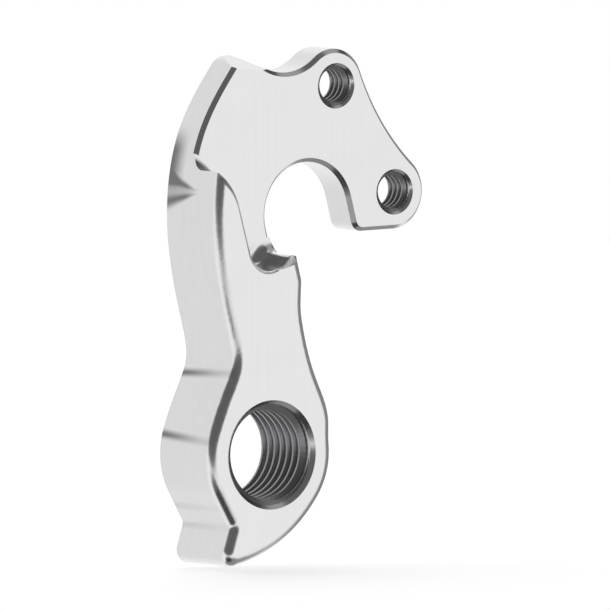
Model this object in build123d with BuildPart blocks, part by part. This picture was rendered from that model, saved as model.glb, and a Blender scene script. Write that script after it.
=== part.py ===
from build123d import *
from math import cos, radians, sin, sqrt
import os

# Replaceable rear derailleur hanger, drive side, milled from one piece of aluminium plate.
# +X is forward on the bicycle, +Y is inboard, towards the wheel, and +Z is up.
# The origin is the mouth of the derailleur thread, on the outboard face of the arm.
# A place is (forward, up), from that thread on the arm and from the axle on the plate.

# Thicknesses, from the outboard face inwards
arm_thickness = 8.5
plate_thickness = 4.0

# Derailleur thread, M10 x 1, and the boss round it
derailleur_thread = 10.0
derailleur_chamfer = 0.4
boss_wall = 2.6
boss_front_angle = 6.0
boss_back_angle = 160.0

# Axle slot, open downwards and a little forward
axle_forward = 7.85
axle_up = 23.15
slot_width = 10.2
slot_lean = 15.0
slot_run = 9.0
mouth_round = 1.2
mouth_below_axle = 2.15

# Arm, with the swell and flank of its front edge and the cheek, flank and waist of its back edge
arm_lip = 1.5
arm_front_up = 13.2
swell = (7.5, 3.2)
front_flank = (5.7, 8.0)
cheek = (-14.6, 0.05)
flank = (-5.3, 14.1)
waist = (-4.4, 10.2)

# Stop for the derailleur's tension adjuster, behind and below the boss
notch_reach = 1.15
notch_angle = 232.7
notch_radius = 0.5
hook_reach = 2.9
hook_angle = 246.0
hook_radius = 1.3
heel_radius = 16.0

# Fixing threads, M4, in two lobes of the plate ahead of the axle
fixing_thread = 4.0
fixing_chamfer = 0.25
upper_fixing = (3.45, 12.45)
lower_fixing = (10.65, 1.65)
lobe_radius = 3.65
upper_lobe_setback = 0.2
lobe_hollow = 25.0

# Upper back corner of the plate, and the bevel that falls outboard from its crown
peak = (-7.45, 13.65)
peak_radius = 2.1
peak_back_angle = 142.0
dip_radius = 5.6
plate_back = (-13.25, 8.35)
crown_land = 0.5
crown_fall = 1.15
crown_lean = -6.0

# Mounting pocket, milled into the outboard face down to the plate
scoop_place = (-7.75, -2.55)
scoop_radius = 2.5
scoop_floor_radius = 0.5
brow_place = (-17.45, -0.25)
brow_radius = 6.2
horn_radius = 0.8
horn_angle = -33.5
horn_flank = 0.06
horn_fall_angle = 45.0
pocket_root_round = 1.5
pocket_margin = 5.0

# Broken edges
outboard_round = 1.15
hook_land = 0.1
inboard_chamfer = 0.3
step_break = 0.5
step_break_angle = 45.0
plate_break = 0.4


def on_round(centre, radius, angle):
    """The point of a round at an angle, in degrees from straight ahead."""
    return centre + Vector(radius * cos(radians(angle)), radius * sin(radians(angle)))


def heading(angle):
    """The way that an anticlockwise outline heads at this angle of a round."""
    return Vector(-sin(radians(angle)), cos(radians(angle)))


def tangent_line(start, end):
    """Where a straight line leaves one round and meets the next.

    A round is (centre, radius), and its radius is negative where the outline turns clockwise.
    """
    (start_centre, start_radius), (end_centre, end_radius) = start, end
    across = end_centre - start_centre
    ahead = across.normalized()
    left = Vector(-ahead.Y, ahead.X)
    lean = (end_radius - start_radius) / across.length
    normal = left * sqrt(1 - lean**2) + ahead * lean
    return start_centre - normal * start_radius, end_centre - normal * end_radius


def tangent_bend(start, end, radius):
    """Where an arc of a given radius leaves one round and meets the next, and its round."""
    (start_centre, start_radius), (end_centre, end_radius) = start, end
    across = end_centre - start_centre
    ahead = across.normalized()
    left = Vector(-ahead.Y, ahead.X)
    to_start = radius - start_radius
    to_end = radius - end_radius
    along = (to_start**2 - to_end**2 + across.length**2) / (2 * across.length)
    aside = sqrt(to_start**2 - along**2) * (1 if radius > 0 else -1)
    centre = start_centre + ahead * along + left * aside
    leave = start_centre - (centre - start_centre) * (start_radius / to_start)
    arrive = end_centre - (centre - end_centre) * (end_radius / to_end)
    return leave, arrive, (centre, radius)


def arc(bend, start, end):
    """An arc along a round, clockwise where its radius is negative."""
    centre, radius = bend
    normal = (centre - start) * (1 / radius)
    TangentArc(start, end, tangent=Vector(normal.Y, -normal.X))


# Centres and depths that follow
thread = Vector(0, 0)
axle = Vector(axle_forward, axle_up)
upper_hole = axle + Vector(upper_fixing)
lower_hole = axle + Vector(lower_fixing)
boss_radius = derailleur_thread / 2 + boss_wall
step_depth = arm_thickness - plate_thickness
mounting_plane = Plane.XZ.offset(-step_depth)

# The rounds that the outline runs along, anticlockwise from the hook
hook = (on_round(thread, boss_radius + hook_reach, hook_angle), hook_radius)
boss = (thread, boss_radius)
lower_lobe = (lower_hole, lobe_radius)
upper_lobe = (upper_hole - Vector(upper_lobe_setback, 0), lobe_radius)
crown = (axle + Vector(peak), peak_radius)
notch = (on_round(thread, boss_radius + notch_reach, notch_angle), -notch_radius)

# Where the outline passes from one round to the next
heel_start, heel_end, heel = tangent_bend(hook, boss, heel_radius)
boss_front = on_round(*boss, boss_front_angle)
arm_front = axle_forward - slot_width / 2 + arm_lip
crook = Vector(arm_front, axle_up - mouth_below_axle)
_, mouth_end = tangent_line((crook, 0), lower_lobe)
hollow_start, hollow_end, hollow = tangent_bend(lower_lobe, upper_lobe, -lobe_hollow)
dip_start, dip_end, dip = tangent_bend(upper_lobe, crown, -dip_radius)
crown_back = on_round(*crown, peak_back_angle)
boss_back = on_round(*boss, boss_back_angle)
heelside_start, heelside_end = tangent_line(boss, notch)
hookside_start, hookside_end = tangent_line(notch, hook)

# The hanger from outboard, anticlockwise from the hook, with the axle slot cut out
with BuildSketch() as hanger_profile:
    with BuildLine():
        arc(hook, hookside_end, heel_start)
        arc(heel, heel_start, heel_end)
        arc(boss, heel_end, boss_front)
        Spline(
            boss_front,
            swell,
            front_flank,
            (arm_front, arm_front_up),
            crook,
            tangents=(heading(boss_front_angle), (0, 1)),
        )
        Line(crook, mouth_end)
        arc(lower_lobe, mouth_end, hollow_start)
        arc(hollow, hollow_start, hollow_end)
        arc(upper_lobe, hollow_end, dip_start)
        arc(dip, dip_start, dip_end)
        arc(crown, dip_end, crown_back)
        Spline(
            crown_back,
            axle + Vector(plate_back),
            axle + Vector(cheek),
            flank,
            waist,
            boss_back,
            tangents=(heading(peak_back_angle), heading(boss_back_angle)),
        )
        arc(boss, boss_back, heelside_start)
        Line(heelside_start, heelside_end)
        arc(notch, heelside_end, hookside_start)
        Line(hookside_start, hookside_end)
    make_face()
    with Locations(axle):
        Circle(slot_width / 2, mode=Mode.SUBTRACT)
        Rectangle(
            slot_width,
            slot_run,
            rotation=slot_lean,
            align=(Align.CENTER, Align.MAX),
            mode=Mode.SUBTRACT,
        )
    mouth_corners = hanger_profile.vertices(Select.LAST).sort_by_distance(axle)[-2:]
    fillet(mouth_corners, radius=mouth_round)

# The rounds of the mounting pocket
scoop = (axle + Vector(scoop_place), scoop_radius)
brow = (axle + Vector(brow_place), -brow_radius)
horn_centre = on_round(scoop[0], scoop_radius + horn_radius + horn_flank, horn_angle)
horn = (horn_centre, -horn_radius)
root_round = min(pocket_root_round, scoop_radius - scoop_floor_radius)

# Where the pocket's edge passes from one round to the next, and how far past the plate it runs
brow_top = on_round(brow[0], brow_radius, 90)
brow_end, scoop_start = tangent_line(brow, scoop)
scoop_end, horn_start = tangent_line(scoop, horn)
horn_end = on_round(horn_centre, horn_radius, horn_fall_angle)
pocket_front = lower_hole.X + lobe_radius + pocket_margin
pocket_top = upper_hole.Y + lobe_radius + pocket_margin
horn_fall = heading(horn_fall_angle) * (-(pocket_front - horn_end.X) / sin(radians(horn_fall_angle)))

# The mounting pocket from outboard, anticlockwise round the metal that is milled away
with BuildSketch() as pocket_profile:
    with BuildLine():
        arc(brow, brow_top, brow_end)
        Line(brow_end, scoop_start)
        arc(scoop, scoop_start, scoop_end)
        Line(scoop_end, horn_start)
        arc(horn, horn_start, horn_end)
        Polyline(
            horn_end,
            horn_end + horn_fall,
            (pocket_front, pocket_top),
            (brow_top.X, pocket_top),
            brow_top,
        )
    make_face()

# The metal that the pocket takes away, with a rounded root and a flared rim
with BuildPart() as pocket:
    with BuildSketch(Plane.XZ):
        add(pocket_profile.sketch)
    extrude(amount=-step_depth)
    fillet(pocket.faces().sort_by(Axis.Y)[-1].edges(), radius=root_round)
    with BuildSketch(Plane.XZ.offset(-step_break)):
        add(pocket_profile.sketch)
    extrude(amount=2 * step_break, taper=-step_break_angle)

# A slice of the plate with its rim broken
slice_depth = 2 * plate_break
with BuildPart() as broken_slice:
    with BuildSketch(mounting_plane):
        add(hanger_profile.sketch)
    extrude(amount=-slice_depth)
    chamfer(broken_slice.faces().sort_by(Axis.Y)[0].edges(), length=plate_break)

# The chips that come off the rim, all round the flat floor of the pocket
with BuildPart() as rim_chips:
    with BuildSketch(mounting_plane):
        add(hanger_profile.sketch)
    extrude(amount=-slice_depth)
    add(broken_slice.part, mode=Mode.SUBTRACT)
    with BuildSketch(mounting_plane):
        add(pocket_profile.sketch)
        offset(amount=-root_round)
    extrude(amount=-slice_depth, mode=Mode.INTERSECT)

# The bevel's plane, which leaves the crown just outboard of the inboard face
crown_touch = on_round(*crown, 90 + crown_lean)
crown_top = Vector(crown_touch.X, arm_thickness - crown_land, crown_touch.Y)
crown_along = Vector(cos(radians(crown_lean)), 0, sin(radians(crown_lean)))
crown_down = Vector(0, crown_land - plate_thickness, -crown_fall)
crown_plane = Plane(crown_top, x_dir=crown_along, z_dir=crown_down.cross(crown_along))
dip_bottom = dip[0].X - crown_top.X

# The hanger itself
edge_round = min(outboard_round, hook_radius - hook_land)
with BuildPart() as hanger:
    with BuildSketch(Plane.XZ):
        add(hanger_profile.sketch)
    extrude(amount=-arm_thickness)
    fillet(hanger.faces().sort_by(Axis.Y)[0].edges(), radius=edge_round)
    chamfer(hanger.faces().sort_by(Axis.Y)[-1].edges(), length=inboard_chamfer)
    add(pocket.part, mode=Mode.SUBTRACT)
    add(rim_chips.part, mode=Mode.SUBTRACT)
    with BuildSketch(crown_plane):
        with Locations((dip_bottom, 0)):
            Rectangle(
                dip_bottom + 2 * peak_radius,
                2 * plate_thickness,
                align=(Align.MAX, Align.CENTER),
            )
    extrude(amount=peak_radius, mode=Mode.SUBTRACT)
    with Locations(Plane.XZ):
        Hole(radius=derailleur_thread / 2)
    chamfer(hanger.edges(Select.LAST).filter_by(GeomType.CIRCLE), length=derailleur_chamfer)
    with Locations(Plane.XZ):
        with Locations(upper_hole, lower_hole):
            Hole(radius=fixing_thread / 2)
    chamfer(hanger.edges(Select.LAST).filter_by(GeomType.CIRCLE), length=fixing_chamfer)

hanger.part.label = "hanger"
os.makedirs("parts", exist_ok=True)
export_step(hanger.part, "parts/hanger.step")
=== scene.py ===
from math import cos, pi, radians, sin

import bmesh
import bpy
from mathutils import Matrix, Vector


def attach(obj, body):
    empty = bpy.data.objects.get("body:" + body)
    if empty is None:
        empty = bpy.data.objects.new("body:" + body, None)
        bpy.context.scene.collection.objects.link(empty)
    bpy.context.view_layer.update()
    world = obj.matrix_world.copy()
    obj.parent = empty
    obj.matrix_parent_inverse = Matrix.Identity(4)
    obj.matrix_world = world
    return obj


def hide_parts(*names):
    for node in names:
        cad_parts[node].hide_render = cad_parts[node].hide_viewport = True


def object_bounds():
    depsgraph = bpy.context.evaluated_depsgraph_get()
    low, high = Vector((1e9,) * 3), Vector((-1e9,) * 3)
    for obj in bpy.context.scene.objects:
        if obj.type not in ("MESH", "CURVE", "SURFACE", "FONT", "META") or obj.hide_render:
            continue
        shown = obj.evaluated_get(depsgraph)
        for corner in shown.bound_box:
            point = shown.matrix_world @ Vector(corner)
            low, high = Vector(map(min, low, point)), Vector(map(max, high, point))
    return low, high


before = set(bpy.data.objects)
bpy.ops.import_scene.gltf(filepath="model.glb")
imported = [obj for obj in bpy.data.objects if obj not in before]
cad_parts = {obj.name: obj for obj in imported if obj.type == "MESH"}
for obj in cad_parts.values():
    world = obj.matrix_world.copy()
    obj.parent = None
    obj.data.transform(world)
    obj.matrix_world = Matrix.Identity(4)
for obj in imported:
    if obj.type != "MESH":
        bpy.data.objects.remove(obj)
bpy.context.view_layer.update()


# The hanger is one piece of aluminium plate, milled to its outline and stepped down to a thin
# plate above the arm. Its outboard rim is rounded, its other edges are broken, and the cutter
# leaves a fine satin face with faint upright streaks. Dark marks of painted shade run across
# the back edge.
mm = 0.001
weld_distance = 0.0005 * mm
tangent_angle = radians(20)

# The outline's walls run tangent into its rounds, so where two of the solid's faces meet that
# way, both are shaded by the broader one's normal
body_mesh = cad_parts["hanger"].data.copy()
body_mesh.name = "hanger_body"
normals = [Vector() for _ in body_mesh.vertices]
breadth = [0.0 for _ in body_mesh.vertices]
for face in body_mesh.polygons:
    for corner in face.loop_indices:
        index = body_mesh.loops[corner].vertex_index
        normals[index] = body_mesh.corner_normals[corner].vector.copy()
        breadth[index] += face.area
meetings = {}
for vert in body_mesh.vertices:
    spot = tuple(round(part / weld_distance) for part in vert.co)
    meetings.setdefault(spot, []).append(vert.index)
for meeting in meetings.values():
    meeting.sort(key=lambda index: -breadth[index])
    for rank, index in enumerate(meeting):
        tangent = [i for i in meeting[:rank] if normals[i].angle(normals[index]) < tangent_angle]
        normals[index] = normals[(tangent + [index])[0]]
body_mesh.normals_split_custom_set_from_vertices(normals)
hanger_body = bpy.data.objects.new("hanger_body", body_mesh)
bpy.context.scene.collection.objects.link(hanger_body)


class Finish:
    """One socket of a material's nodes, so that shader maths reads as plain arithmetic."""

    def __init__(self, tree, socket=None):
        self.tree = tree
        self.socket = socket

    def node(self, kind, output=0, settings=None, **values):
        """Adds a node of a type, with its settings first and then its sockets."""
        made = self.tree.nodes.new(kind)
        for name, value in (settings or {}).items():
            setattr(made, name, value)
        for name, value in values.items():
            key = int(name[1:]) if name[1:].isdigit() else name.replace("_", " ")
            target = made.inputs[key]
            if isinstance(value, Finish):
                self.tree.links.new(value.socket, target)
            else:
                target.default_value = value
        return Finish(self.tree, made.outputs[output])

    def maths(self, operation, *values):
        sockets = {f"i{place}": value for place, value in enumerate(values)}
        return self.node("ShaderNodeMath", settings={"operation": operation}, **sockets)

    def __add__(self, other):
        return self.maths("ADD", self, other)

    def __sub__(self, other):
        return self.maths("SUBTRACT", self, other)

    def __rsub__(self, other):
        return self.maths("SUBTRACT", other, self)

    def __mul__(self, other):
        return self.maths("MULTIPLY", self, other)

    def __truediv__(self, other):
        return self.maths("DIVIDE", self, other)

    __radd__ = __add__
    __rmul__ = __mul__

    def size(self):
        return self.maths("ABSOLUTE", self)

    def at_least(self, least):
        return self.maths("MAXIMUM", self, least)

    def axes(self):
        """The three parts of a vector."""
        split = self.node("ShaderNodeSeparateXYZ", i0=self).socket.node
        return [Finish(self.tree, output) for output in split.outputs]

    def ease(self, low, high):
        """0 below low and 1 above high, with a smooth rise between."""
        return self.node(
            "ShaderNodeMapRange",
            settings={"interpolation_type": "SMOOTHSTEP"},
            Value=self,
            From_Min=low,
            From_Max=high,
        )


def new_finish(name):
    """A new material, its Principled shader and a first Finish to build from."""
    material = bpy.data.materials.new(name)
    material.use_nodes = True
    return material, material.node_tree.nodes["Principled BSDF"], Finish(material.node_tree)


# Milled aluminium
milled, shader, start = new_finish("milled_aluminium")
place = start.node("ShaderNodeTexCoord", output=3)
stretched = start.node("ShaderNodeMapping", Vector=place, Scale=(1.0, 1.0, 0.03))
streaks = start.node("ShaderNodeTexNoise", Vector=stretched, Scale=2600.0, Detail=3.0)
cloud = start.node("ShaderNodeTexNoise", Vector=place, Scale=160.0, Detail=2.0)
tone = (streaks - 0.5) * 0.3 + (cloud - 0.5) * 0.2 + 0.5

# Painted shade: dark lines across the back edge at set heights, weaker towards the front face
forward, inward, up = place.axes()
facing = start.node("ShaderNodeTexCoord", output=1)
back_edge = (facing.axes()[0] * -1.0).ease(0.6, 0.85) * (1.0 - forward.ease(0.0, 3.0 * mm))
shade_lines = []
for height, slope, reach, strength in (
    (8.2 * mm, -0.04, 0.6 * mm, 1.0),
    (1.5 * mm, 0.055, 0.65 * mm, 1.0),
    (-5.2 * mm, 0.0, 0.6 * mm, 0.2),
    (-7.1 * mm, 0.0, 0.5 * mm, 0.2),
):
    distance = (up - height - inward * slope).size()
    shade_lines.append((1.0 - (distance / reach).ease(0.0, 1.0)) * strength)
line_fade = inward.ease(0.5 * mm, 8.5 * mm) * 0.75 + 0.25

# Painted shade: a dark fan opens towards the inboard side, with a softer painted shade above it
fan_tip = 2.9 * mm
fan_height = 26.0 * mm
fan_spread = ((inward - fan_tip) * 0.32).at_least(0.3 * mm)
fan_place = (up - fan_height).size() / fan_spread
shade_fan = (fan_place.ease(0.1, 0.7) * 0.55 + 0.45) * (1.0 - fan_place.ease(0.7, 1.4))
fan_fade = inward.ease(fan_tip, 5.5 * mm)
shade_height = 29.0 * mm
shade_rise = 1.0 - ((up - shade_height).size() / (3.5 * mm)).ease(0.2, 1.0)
shade = shade_rise * inward.ease(5.5 * mm, 8.0 * mm)
painted_shade = (sum(shade_lines) * line_fade + shade_fan * fan_fade + shade) * back_edge

bare = start.node(
    "ShaderNodeMix",
    output=2,
    settings={"data_type": "RGBA"},
    i0=tone,
    i6=(0.7, 0.702, 0.708, 1.0),
    i7=(0.9, 0.9, 0.905, 1.0),
)
# The painted shade on the back edge mixes the bare tone towards dark grey
colour = start.node(
    "ShaderNodeMix",
    output=2,
    settings={"data_type": "RGBA"},
    i0=painted_shade,
    i6=bare,
    i7=(0.2, 0.2, 0.205, 1.0),
)
milled.node_tree.links.new(colour.socket, shader.inputs["Base Color"])
shader.inputs["Metallic"].default_value = 1.0
rough = (streaks - 0.5) * 0.08 + 0.22
milled.node_tree.links.new(rough.socket, shader.inputs["Roughness"])
bump = start.node("ShaderNodeBump", Height=streaks, Strength=0.03, Distance=0.02 * mm)
milled.node_tree.links.new(bump.socket, shader.inputs["Normal"])

hanger_body.data.materials.clear()
hanger_body.data.materials.append(milled)
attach(hanger_body, "root")
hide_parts("hanger")


# The threads are cut with taps after milling: M10 x 1 for the derailleur through the boss, and
# M4 x 0.7 through each lobe. Each is the right-handed ridge that the tap leaves standing in its
# bore, duller than the milled faces and dark with painted shade for the bore's hollow, and it
# runs out where the bore's mouths are chamfered.
tapped, shader, start = new_finish("tapped_aluminium_painted_shade")
# The dark base colour is partly the duller cut metal and partly painted shade inside the bores
shader.inputs["Base Color"].default_value = (0.32, 0.32, 0.33, 1.0)
shader.inputs["Metallic"].default_value = 1.0
shader.inputs["Roughness"].default_value = 0.32


def thread_ridge(name, mouth, depth, major, pitch, chamfer):
    """The closed ridge of an internal thread, along +Y from the chamfered mouth of its bore."""
    steps_a_turn = 60
    fade = 20
    sunk = 0.01 * mm
    height = 0.541 * pitch + sunk
    base_width = 0.875 * pitch
    crest_width = 0.25 * pitch
    run_out = 0.11 * pitch
    length = depth - 2 * chamfer - 2 * run_out
    steps = round(length / pitch * steps_a_turn)
    start_along = chamfer + run_out

    def seat(step):
        """Where the section sits after some steps, smaller where the ridge runs out."""
        rise = min(1.0, (step + 1) / fade, (steps - step + 1) / fade)
        along = start_along + pitch * step / steps_a_turn
        return (
            Matrix.Translation(mouth + Vector((0, along, 0)))
            @ Matrix.Rotation(2 * pi * step / steps_a_turn, 4, "Y")
            @ Matrix.Translation((major / 2 + sunk, 0, 0))
            @ Matrix.Scale(rise, 4)
        )

    ridge = bmesh.new()
    bmesh.ops.create_grid(ridge, x_segments=1, y_segments=1, size=0.5)
    bmesh.ops.translate(ridge, verts=ridge.verts, vec=(-0.5, 0, 0))
    crest = [vert for vert in ridge.verts if vert.co.x < -0.5]
    bmesh.ops.scale(ridge, verts=ridge.verts, vec=(height, base_width, 1))
    bmesh.ops.scale(ridge, verts=crest, vec=(1, crest_width / base_width, 1))
    bmesh.ops.transform(ridge, verts=ridge.verts, matrix=seat(0))
    section = ridge.faces[:]
    for step in range(steps):
        grown = bmesh.ops.extrude_face_region(ridge, geom=section)["geom"]
        section = [part for part in grown if isinstance(part, bmesh.types.BMFace)]
        moved = [part for part in grown if isinstance(part, bmesh.types.BMVert)]
        advance = seat(step + 1) @ seat(step).inverted()
        bmesh.ops.transform(ridge, verts=moved, matrix=advance)
    bmesh.ops.recalc_face_normals(ridge, faces=ridge.faces)
    mesh = bpy.data.meshes.new(name)
    ridge.to_mesh(mesh)
    ridge.free()
    piece = bpy.data.objects.new(name, mesh)
    bpy.context.scene.collection.objects.link(piece)
    piece.data.materials.append(tapped)
    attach(piece, "root")


boss_mouth = Vector((0, 0, 0)) * mm
upper_lobe_mouth = Vector((11.3, 4.5, 35.6)) * mm
lower_lobe_mouth = Vector((18.5, 4.5, 24.8)) * mm
boss_depth = 8.5 * mm
lobe_depth = 4.0 * mm
thread_ridge("derailleur_thread_ridge", boss_mouth, boss_depth, 10.0 * mm, 1.0 * mm, 0.4 * mm)
thread_ridge("upper_fixing_thread_ridge", upper_lobe_mouth, lobe_depth, 4.0 * mm, 0.7 * mm, 0.25 * mm)
thread_ridge("lower_fixing_thread_ridge", lower_lobe_mouth, lobe_depth, 4.0 * mm, 0.7 * mm, 0.25 * mm)


# The studio is a sheet of white paper in a plain white world. Dark cards above and below the
# camera, to the right, overhead and underneath give the rounded edges their dark outlines, and the
# paper stays out of the metal's reflections.
low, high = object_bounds()
middle = (low + high) / 2
floor_mesh = bpy.data.meshes.new("floor")
disc = bmesh.new()
bmesh.ops.create_circle(disc, cap_ends=True, segments=96, radius=400 * mm)
bmesh.ops.translate(disc, verts=disc.verts, vec=(middle.x, middle.y, low.z - 0.5 * mm))
disc.to_mesh(floor_mesh)
disc.free()
floor = bpy.data.objects.new("floor", floor_mesh)
bpy.context.scene.collection.objects.link(floor)
floor.visible_glossy = False
paper, shader, start = new_finish("white_paper")
shader.inputs["Base Color"].default_value = (0.9, 0.9, 0.9, 1.0)
shader.inputs["Roughness"].default_value = 0.9
shader.inputs["Emission Color"].default_value = (1.0, 1.0, 1.0, 1.0)
shader.inputs["Emission Strength"].default_value = 0.56
floor.data.materials.append(paper)


def heading(azimuth, elevation):
    """The direction at an azimuth round the object and an elevation, as the camera's are counted."""
    a = radians(azimuth)
    e = radians(elevation)
    return Vector((sin(a) * cos(e), -cos(a) * cos(e), sin(e)))


world = bpy.data.worlds.new("studio")
bpy.context.scene.world = world
world.use_nodes = True
background = world.node_tree.nodes["Background"]
background.inputs["Color"].default_value = (1.0, 1.0, 1.0, 1.0)
background.inputs["Strength"].default_value = 1.0

# The cards are soft dark patches on a clear shell, far enough away to look the same from every
# part of the hanger. The camera sees past them to the white.
shell_radius = 3000 * mm
shell_mesh = bpy.data.meshes.new("card_shell")
ball = bmesh.new()
bmesh.ops.create_icosphere(ball, subdivisions=4, radius=1.0)
ball.to_mesh(shell_mesh)
ball.free()
card_shell = bpy.data.objects.new("card_shell", shell_mesh)
bpy.context.scene.collection.objects.link(card_shell)
card_shell.location = middle
card_shell.scale = (shell_radius, shell_radius, shell_radius)
card_shell.visible_camera = False
clear, _, start = new_finish("clear_with_dark_cards")
place = start.node("ShaderNodeTexCoord", output=3)
way = start.node("ShaderNodeVectorMath", settings={"operation": "NORMALIZE"}, i0=place)


def card(azimuth, elevation, inner, outer):
    """1 within the inner angle of a direction, and 0 past the outer one."""
    nearness = start.node(
        "ShaderNodeVectorMath",
        output=1,
        settings={"operation": "DOT_PRODUCT"},
        i0=way,
        i1=heading(azimuth, elevation),
    )
    return nearness.ease(cos(radians(outer)), cos(radians(inner)))


camera_card = card(-38, 36, 46, 56)
right_card = card(92, 4, 32, 42)
top_card = card(75, 50, 22, 34)
low_card = card(30, -72, 38, 52)
under_card = card(-48, -48, 20, 31)
wall_shade = card(-150, 8, 34, 64)
outlines = camera_card * 0.88 + right_card * 0.75 + top_card * 0.62 + low_card * 0.72
let_through = (1.0 - outlines - under_card * 0.85 - wall_shade * 0.15).at_least(0.04)
veil = start.node("ShaderNodeBsdfTransparent", Color=let_through)
clear.node_tree.links.new(veil.socket, clear.node_tree.nodes["Material Output"].inputs["Surface"])
card_shell.data.materials.append(clear)

back = heading(-37, 4.5)
camera_data = bpy.data.cameras.new("camera")
camera = bpy.data.objects.new("camera", camera_data)
bpy.context.scene.collection.objects.link(camera)
camera_data.type = "ORTHO"
camera_data.ortho_scale = 60 * mm
camera_data.clip_start = 0.01
camera_data.clip_end = 10.0
camera.location = middle + back * 0.4
camera.rotation_mode = "QUATERNION"
camera.rotation_quaternion = (-back).to_track_quat("-Z", "Y")
bpy.context.scene.camera = camera
bpy.context.scene.view_settings.view_transform = "Standard"
